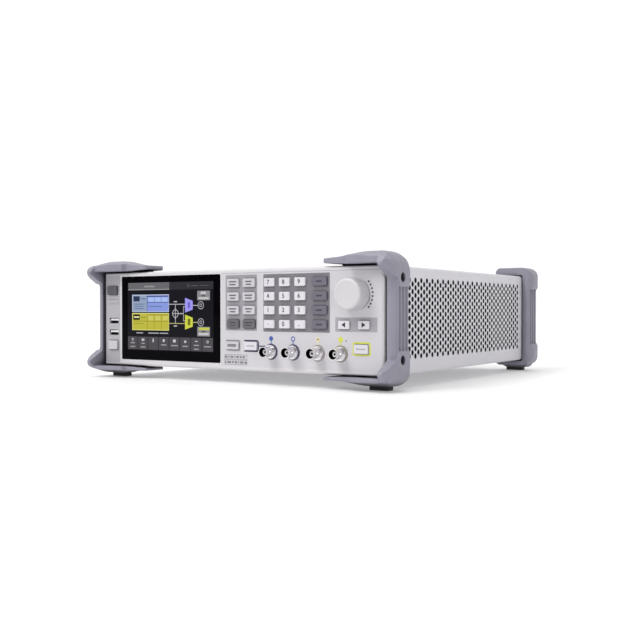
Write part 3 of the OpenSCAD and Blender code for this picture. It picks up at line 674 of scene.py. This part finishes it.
PRINT_X = -5.4
PRINT_GAP = 0.85
PRINT_ROWS = (
    (-34.1, (3.1, 1.6, 3.6, 1.5, 3.2, 2.4, 3.0)),
    (-39.0, (1.8, 4.6, 2.2, 3.4, 1.4, 4.2, 3.2)),
)
lines = [mark(*frame_of(*middle("shift_key"), 15.8, 8.6, 0.6, 0.8))]
for row, widths in PRINT_ROWS:
    lines.append(mark(*frame_of(7.7, row, 25.4, 3.6, 0.4)))
    left = PRINT_X
    for width in widths:
        lines.append(mark(span(left + 0.4, left + 0.2 + width, row - 1.0, row + 1.0)))
        left += width + PRINT_GAP
printed("panel_lines", lines, GREY_INK_AND_SHADE)

DOT_Z = -16.5
YELLOW_DOT_Z = -16.3
RING_R = 7.2
STEM_W = 1.0


def stem(k, top=-18.7):
    """The short line from a jack's ring up to the dot above it."""
    return mark(span(JACK_X[k] - STEM_W / 2, JACK_X[k] + STEM_W / 2, JACK_Z + RING_R, top))


x, z = middle("output_key_1")
navy = [mark(bracket(x, z, 14.6, 8.4, 1.2, 1.4)), mark(span(x + 8.5, JACK_X[0] - 6.9, z - 0.5, z + 0.5))]
navy += [mark(*hoop(JACK_X[k], JACK_Z, 6.2, RING_R)) for k in (0, 1)]
printed("marks_navy", navy, INK_NAVY)
blue = [mark(disc(JACK_X[0], DOT_Z, 2.2)), mark(*hoop(JACK_X[1], DOT_Z, 1.4, 2.3)), stem(0), stem(1)]
printed("marks_blue", blue, INK_BLUE)
cream = [mark(*hoop(JACK_X[2], DOT_Z, 0.9, 2.1)), stem(2, -18.6)]
printed("marks_cream", cream, INK_CREAM)
brown = [mark(disc(JACK_X[2], DOT_Z, 0.9)), mark(*hoop(JACK_X[2], JACK_Z, 6.5, 7.1))]
printed("marks_brown", brown, INK_BROWN)

x, z = middle("output_key_2")
yellow = [mark(disc(JACK_X[3], YELLOW_DOT_Z, 2.4)), stem(3), mark(*frame_of(x, z, 15.0, 9.0, 1.3, 0.8))]
printed("marks_yellow", yellow, INK_YELLOW)
olive = [mark(*hoop(JACK_X[3], JACK_Z, 6.4, 7.1)), mark(span(x - 6.6, x + 6.6, z + 4.2, z + 4.5))]
printed("marks_olive", olive, INK_OLIVE)

DOTS = 8
DOTS_R = 16.2
DOTS_ARC = 82
dots = []
for k in range(DOTS):
    angle = math.radians(DOTS_ARC * (k / (DOTS - 1) - 0.5))
    dots.append(mark(disc(*around(KNOB_X, KNOB_Z, DOTS_R, angle), 0.9, 20)))
dots.append(mark(disc(JACK_X[3] + 5.4, -17.3, 0.6, 20)))
printed("marks_dark", dots, INK_DARK)
# The thin grey arc round the knob's lower right is painted shadow of the gap under the knob's skirt.
printed("knob_painted_shadow", [mark(arc_band(KNOB_X, KNOB_Z, 13.3, 13.7, -60, 55))], GREY_INK_AND_SHADE)


# ---- left strip and its sockets ----

STRIP_OUT = -0.8
SOCKET_X = -150.65
SOCKET_Z = (-1.8, -13.6)
strip_holes = key_holes(STRIP_KEYS, KEY_GAP) + [rect(SOCKET_X, z, 13.2, 5.8, 0.3) for z in SOCKET_Z]
strip = [span(-161.6, -141.2, -43.6, 43.6, 1.3), *strip_holes]
printed("strip_sheet", [flat(strip, STRIP_OUT, SHEET)], STRIP)


def strip_mark(*outlines):
    """One printed mark on the strip."""
    return flat(outlines, STRIP_OUT + TOP)


marks = [strip_mark(span(-157.6, -143.6, 19.5, 20.1)), strip_mark(span(-157.6, -148.6, 14.9, 15.5)),
         strip_mark(*frame_of(-145.4, 15.9, 2.0, 1.4, 0.35)),
         strip_mark(*frame_of(*middle("side_key"), 13.6, 10.2, 0.35, 0.8))]
printed("strip_marks", marks, GREY_INK_AND_SHADE)
faint = [strip_mark(span(-154.0, -148.4, 10.0, 10.7)), strip_mark(disc(-154.6, 10.35, 0.9, 20)),
         strip_mark(span(-154.2, -147.6, -8.0, -7.3))]
printed("strip_faint_marks", faint, LINE_INK_AND_SHADE)


def solid(x0, x1, out0, out1, z0, z1):
    """A box on the panel between two corners."""
    corners = [on_panel(x, z, out) for out in (out0, out1) for z in (z0, z1) for x in (x0, x1)]
    mesh = bpy.data.meshes.new("solid")
    sides = [(0, 1, 3, 2), (4, 6, 7, 5), (0, 4, 5, 1), (2, 3, 7, 6), (0, 2, 6, 4), (1, 5, 7, 3)]
    mesh.from_pydata(corners, [], sides)
    return mesh


TONGUE_HALF = 5.61
TONGUE_LOW = 0.12
TONGUE_HIGH = 2.08
tongues = [solid(SOCKET_X - TONGUE_HALF, SOCKET_X + TONGUE_HALF, -1.9, -12.0, z + TONGUE_LOW, z + TONGUE_HIGH)
           for z in SOCKET_Z]
tongue_mesh = applied(merged(tongues, "usb_tongues"), ("BEVEL", {"width": 0.12 * MM, "segments": 2}))
piece("usb_tongues", shaded(tongue_mesh), CHASSIS, "white_insulator")


# ---- keys and their legends ----

POWER_KEY = surface("power_key_plastic", srgb(84, 82, 90), 0.5, vary=0.03, grain=2600, depth=0.015)
SIDE_KEY = surface("side_key_plastic", srgb(194, 191, 198), 0.5, vary=0.02, grain=2600, depth=0.012)
FAR_KEY = surface("far_key_plastic", srgb(98, 96, 102), 0.5, vary=0.03, grain=2600, depth=0.015)
PALE_KEYS = 6
KEY_PAINT = {"power_key": POWER_KEY, "side_key": SIDE_KEY, "shift_key": SIDE_KEY}
KEY_PAINT.update({node: SIDE_KEY for node in FUNCTION_KEYS[:PALE_KEYS]})
KEY_PAINT.update({node: FAR_KEY for node in FUNCTION_KEYS[PALE_KEYS:]})
for node in KEYS:
    softened(node, 0.4, 3, 40, paint=KEY_PAINT.get(node))

LEGEND_GAP = 0.003


def legend(node, outlines, paint, name="legend"):
    """Marks on a key's cap, each one outline."""
    out = rise_of(node) + LEGEND_GAP
    add_legend(node, [flat([outline], out) for outline in outlines], paint, name)


def add_legend(node, meshes, paint, name="legend"):
    piece(f"{node}_{name}", merged(meshes, f"{node}_{name}"), body_of_node[node], slot_of_node[node], paint)


def bar(x, z, w, low, high, r=0.3):
    """A legend's bar centred on x, between two heights above z."""
    return span(x - w / 2, x + w / 2, z + low, z + high, r)


UPPER_BARS = (8.6, 7.2, 7.8, 9.0, 8.2, 7.6, 7.0, 9.2)
LOWER_BARS = (7.4, 6.2, 6.0, 7.6, 6.4, 5.4, 6.0, 7.0)
for k, node in enumerate(FUNCTION_KEYS):
    x, z = middle(node)
    legend(node, [bar(x, z, UPPER_BARS[k], 0.5, 1.7)], INK_LEGEND if k < PALE_KEYS else INK_DARK, "upper")
    legend(node, [bar(x, z, LOWER_BARS[k], -2.0, -1.0)], INK_DARK, "lower")

SIGN_SHIFT = 0.9
for node in NUMBER_KEYS:
    x, z = middle(node)
    sign = node.rsplit("_", 1)[1]
    if sign == "point":
        legend(node, [disc(x - SIGN_SHIFT, z - 0.9, 0.5, 20)], INK_DARK)
    elif sign == "sign":
        legend(node, [span(x - 2 * SIGN_SHIFT, x, z - 0.2, z + 0.2)], INK_DARK)
    else:
        add_legend(node, [label(sign, x - SIGN_SHIFT, z, rise_of(node) + LEGEND_GAP)], INK_DARK)

for node in UNIT_KEYS:
    legend(node, [bar(*middle(node), 6.4, -0.7, 0.7)], INK_DARK)

for node, way in zip(ARROW_KEYS, (-1, 1)):
    x, z = middle(node)
    legend(node, [[(x - 1.7 * way, z - 2.3), (x + 2.0 * way, z), (x - 1.7 * way, z + 2.3)]], INK_BLACK)

for node in OUTPUT_KEYS:
    legend(node, [bar(*middle(node), 9.2, -0.6, 0.6)], LINE_INK_AND_SHADE)

legend("shift_key", [bar(*middle("shift_key"), 10.0, -1.3, 1.3, 0.4)], GREY_INK_AND_SHADE)

x, z = middle("power_key")
legend("power_key", [arc_band(x, z, 1.9, 2.45, 125, 415), bar(x, z, 0.56, 0.5, 2.9, 0)], INK_DARK)


# ---- knob ----


def turned(profile, x, z, spokes, ripple):
    """A turned solid about the axis through (x, z). Its profile runs from the back to the front, and each
    point is a radius, how far out it is, and its share of the ripple."""
    work = bmesh.new()
    rings = []
    for r, out, share in profile:
        if not r:
            rings.append([work.verts.new(on_panel(x, z, out))])
            continue
        ring = []
        for k in range(spokes):
            a = 2 * math.pi * k / spokes
            ring.append(work.verts.new(on_panel(*around(x, z, r - share * ripple(k), a), out)))
        rings.append(ring)
    for low, high in zip(rings, rings[1:]):
        for k in range(spokes):
            n = (k + 1) % spokes
            if len(low) == 1:
                work.faces.new((low[0], high[k], high[n]))
            elif len(high) == 1:
                work.faces.new((low[k], low[n], high[0]))
            else:
                work.faces.new((low[k], low[n], high[n], high[k]))
    mesh = bpy.data.meshes.new("turned")
    work.to_mesh(mesh)
    work.free()
    return shaded(mesh, 50)


RIBS = 64
SPOKES_A_RIB = 6
RIB_DEPTH = 0.36
KNOB_R = 13.25
KNOB_OUT = 16.0
ROLL_R = 2.15
ROLL_IN = 2.25
SKIRT = [(0, 0.62, 0), (12.0, 0.62, 0), (12.9, 0.66, 0), (13.2, 0.95, 0), (13.2, 1.5, 0), (12.95, 1.75, 0)]
GRIP = [(12.93, 2.0, 0.2), (13.2, 2.5, 1), (13.2, 3.2, 1), (13.2, 12.9, 1), (13.15, 13.5, 0.6),
        (13.05, 14.1, 0.15)]
ROLL = [(*around(KNOB_R - ROLL_IN, KNOB_OUT - ROLL_IN, ROLL_R, math.radians(a)), 0)
        for a in range(20, 95, 10)]
DISH = [(10.4, 15.84, 0), (9.9, 15.7, 0), (9.2, 15.56, 0), (7.8, 15.46, 0), (4.0, 15.38, 0), (0, 15.37, 0)]


def rib_depth(k):
    """How deep the grip is cut at a spoke, in millimetres."""
    return RIB_DEPTH * (1 - abs(math.cos(math.pi * k / SPOKES_A_RIB)) ** 1.3)


knob_mesh = turned(SKIRT + GRIP + ROLL + DISH, KNOB_X, KNOB_Z, RIBS * SPOKES_A_RIB, rib_depth)
piece("control_knob_turned", knob_mesh, "control_knob", "knob_plastic", None, "control_knob")


# ---- jacks ----

softened("bnc_shells", 0.18, 2, 35)
softened("bnc_insulators", 0.15, 2, 35)


# ---- screen ----

SCREEN_OUT = 0.004
SCREEN_LAYER = 0.006
LIT_THICK = 0.004


def lit(name, shapes, colour, layer):
    """Lit shapes of the screen picture, as thin plates on the cover glass. A shape is one outline, or a list
    of outlines of which each inside another is a hole."""
    plates = []
    for shape in shapes:
        outlines = [shape] if isinstance(shape[0], tuple) else shape
        plates.append(flat(outlines, SCREEN_OUT + SCREEN_LAYER * layer, LIT_THICK))
    piece(name, merged(plates, name), CHASSIS, "cover_glass", glowing(name, srgb(*colour)))


TAB_Z = (28.6, 35.9)
TAB_OPEN = (-129.6, -74.3)
TAB_SHUT = (-73.8, -19.1)
lit("screen_ground", [span(-130.4, -19.0, -30.7, 36.0)], (26, 26, 32), 0)
lit("screen_tab_open", [span(*TAB_OPEN, *TAB_Z)], (104, 104, 108), 1)
tab_edge = [span(*TAB_OPEN, TAB_Z[0], 29.5), span(-107.9, -94.0, 31.4, 32.8, 0.3)]
lit("screen_tab_edge", tab_edge, (150, 150, 152), 2)
lit("screen_tab_shut", [span(*TAB_SHUT, *TAB_Z)], (50, 50, 56), 1)
tab_marks = [hoop(-50.2, 32.2, 0.9, 1.5), span(-46.5, -38.0, 31.6, 32.5), span(-36.0, -24.5, 31.8, 32.4)]
lit("screen_tab_marks", tab_marks, (86, 86, 92), 2)

# The two cards share their left and right parts across, and the line between the parts.
CARD_X = (-124.3, -74.9)
CARD_LEFT = (-123.7, -104.1)
CARD_RIGHT = (-103.5, -75.4)
CARD_SPLIT = (CARD_LEFT[1], CARD_RIGHT[0])
BLUE_Z = (7.5, 23.4)
YELLOW_Z = (-10.4, 5.2)

lit("screen_card_1_edge", [span(*CARD_X, 7.0, 24.1)], (196, 206, 228), 1)
lit("screen_card_1_left", [span(*CARD_LEFT, *BLUE_Z)], (146, 162, 186), 2)
lit("screen_card_1_right", [span(*CARD_RIGHT, *BLUE_Z)], (136, 152, 220), 2)
cells = [span(-102.4 + 9 * k, -94.6 + 9 * k, 17.0, 21.2) for k in range(3)]
lit("screen_card_1_cells", cells, (170, 190, 240), 3)
card_lines = [span(*CARD_SPLIT, *BLUE_Z), span(*CARD_RIGHT, 16.2, 16.7), span(*CARD_RIGHT, 22.0, 22.9),
              span(-122.4, -113.8, 17.6, 22.6)]
lit("screen_card_1_lines", card_lines, (44, 56, 84), 3)
bars = [span(-121.4, -107.2, 14.4, 15.2), span(-121.4, -109.0, 12.2, 13.0), span(-121.4, -108.0, 10.0, 10.8),
        span(-112.0, -106.0, 19.4, 20.6), span(-101.6, -84.0, 12.0, 12.8)]
lit("screen_card_1_text", bars, (96, 114, 160), 3)

lit("screen_card_2_edge", [span(*CARD_X, -11.0, 5.9)], (226, 226, 140), 1)
lit("screen_card_2_left", [span(*CARD_LEFT, *YELLOW_Z)], (188, 183, 68), 2)
lit("screen_card_2_right", [span(*CARD_RIGHT, *YELLOW_Z)], (188, 182, 66), 2)
cells = [span(-102.4 + 9.6 * k, -95.6 + 9.6 * k, -1.2, 3.2) for k in range(3)]
lit("screen_card_2_cells", cells, (204, 199, 100), 3)
card_lines = [span(*CARD_SPLIT, *YELLOW_Z), span(-123.0, CARD_RIGHT[1], -2.3, -1.8),
              span(-94.7, -94.3, *YELLOW_Z), span(-85.0, -84.6, *YELLOW_Z), span(-122.0, -109.0, -4.8, -4.3),
              span(-112.2, -106.0, 1.4, 2.2), span(-102.0, -76.4, 3.8, 4.5)]
lit("screen_card_2_lines", card_lines, (138, 130, 40), 3)
lit("screen_card_2_icon", [span(-122.7, -113.8, -0.8, 4.6)], (26, 22, 10), 3)
lit("screen_card_2_mark", [span(-121.6, -114.6, 1.2, 2.7, 0.3)], (236, 234, 180), 4)
CAPTION_X = ((-118.5, -109.4), (-102.4, -88.0), (-86.8, -76.0))
captions = [span(*sides, -14.2, -13.2) for sides in CAPTION_X]
lit("screen_captions", captions, (176, 174, 180), 1)

# The paths from the cards to the jacks: BUS_X carries the round symbol, and TAP_X feeds both switches.
BUS_X = -66.5
TAP_X = -56.2
CARD_EDGE_X = -74.6
SWITCH_X = (-54.2, -44.5)
SWITCH_OUT_X = -44.6
JACK_FEED_X = -38.4
UPPER_Z = 14.5
LOWER_Z = -4.0
LINK_Z = 5.5
WIRE = 0.7
THIN_WIRE = 0.6


def wire(x0, z0, x1, z1, width=WIRE):
    return ribbon([(x0, z0), (x1, z1)], width)


wires = wire(CARD_EDGE_X, UPPER_Z, SWITCH_X[0], UPPER_Z) + wire(BUS_X, UPPER_Z, BUS_X, -4.1)
wires += wire(-70.4, LINK_Z, TAP_X, LINK_Z) + wire(TAP_X, 12.1, TAP_X, -1.4, THIN_WIRE)
wires += wire(TAP_X, 12.1, SWITCH_X[0], 12.1, THIN_WIRE) + wire(TAP_X, -1.4, SWITCH_X[0], -1.4, THIN_WIRE)
wires += wire(SWITCH_OUT_X, 13.3, JACK_FEED_X, 13.3)
wires += [hoop(BUS_X, LINK_Z, 3.3, 4.0)]
wires += [span(BUS_X - 2.1, BUS_X + 2.1, low, low + 1.1, 0.2) for low in (16.4, -7.0)]
wires += [[(BUS_X - 1, root), (BUS_X, tip), (BUS_X + 1, root)] for root, tip in ((9.6, 11.6), (1.4, -0.6))]
wires += [[(-59.6, LINK_Z - 0.9), (-57.8, LINK_Z), (-59.6, LINK_Z + 0.9)]]
lit("screen_wires", wires, (186, 186, 192), 1)
yellow_wires = wire(CARD_EDGE_X, LOWER_Z, SWITCH_X[0], LOWER_Z) + wire(SWITCH_OUT_X, -2.8, JACK_FEED_X, -2.8)
lit("screen_wires_yellow", yellow_wires, (186, 184, 120), 2)


def tapered(top, top_right, low_right, low):
    """A switch's outline, which narrows from left to right."""
    left, right = SWITCH_X
    return [(left, top), (right, top_right), (right, low_right), (left, low)]


lit("screen_switch_1", [tapered(20.6, 17.6, 9.4, 6.4)], (158, 152, 238), 1)
lit("screen_switch_1_mark", [span(-50.6, -47.6, 10.6, 16.4, 0.4)], (112, 104, 200), 2)
lit("screen_switch_2", [tapered(4.6, 1.6, -6.8, -9.8)], (204, 208, 74), 1)
lit("screen_switch_2_mark", [span(-50.8, -47.4, -5.6, 0.6, 0.4)], (112, 116, 30), 2)

SCREEN_JACK_X = -34.4
sockets = [hoop(SCREEN_JACK_X, z, *radii) for z in (13.4, -2.6) for radii in ((3.1, 3.8), (1.0, 1.7))]
lit("screen_jacks", sockets, (172, 172, 178), 1)
boxes = [span(-38.8, -23.2, *heights) for heights in ((18.2, 27.1), (-15.9, -6.9))]
lit("screen_boxes", boxes, (140, 138, 142), 1)
box_bars = [span(-34.6, -28.0, 24.0, 26.2, 0.3), span(-37.4, -24.6, 19.2, 21.0, 0.3),
            span(-37.4, -24.6, -14.8, -12.6, 0.3)]
lit("screen_box_bars", box_bars, (196, 194, 196), 2)
lit("screen_box_yellow", [span(-36.8, -24.0, -10.0, -7.6, 0.3)], (196, 200, 86), 2)
lit("screen_box_dark", [span(-33.6, -28.8, low, low + 1.2, 0.2) for low in (21.8, -12.0)], (84, 82, 86), 2)

TILES = 8
TILE_X = -130.2
TILE_W = 13.2
PITCH = 13.92
tiles = [span(TILE_X + PITCH * k, TILE_X + PITCH * k + TILE_W, -30.1, -17.4) for k in range(TILES)]
lit("screen_tiles", tiles, (80, 77, 82), 1)
icons = [hoop(-123.6, -20.2, 0.7, 1.3), rect(-109.5, -20.4, 3.6, 2.2, 0.4), rect(-95.8, -20.8, 1.6, 3.6, 0.3),
         disc(-81.8, -20.8, 1.5, 20), rect(-67.9, -20.9, 3.6, 2.8, 0.3), rect(-54.0, -21.4, 2.6, 2.2, 0.3),
         rect(-40.0, -20.8, 3.4, 0.9), hoop(-26.2, -21.0, 0.8, 1.4)]
lit("screen_tile_icons", icons, (196, 194, 198), 2)
# Each tile's bars: the middle of the tile's icon, and for each bar its width and height on the screen.
TILE_BARS = (
    (-123.6, ((5.8, -23.6), (7.0, -27.4))),
    (-109.5, ((4.4, -24.0), (6.6, -27.6))),
    (-81.8, ((6.8, -25.0),)),
    (-67.9, ((8.8, -25.4),)),
    (-54.0, ((7.0, -25.8),)),
    (-40.0, ((6.4, -24.6), (6.0, -28.2))),
    (-26.2, ((8.6, -25.6),)),
)
tile_bars = [rect(x, z, w, 1.1, 0.3) for x, rows in TILE_BARS for w, z in rows]
lit("screen_tile_words", tile_bars, (158, 156, 160), 2)
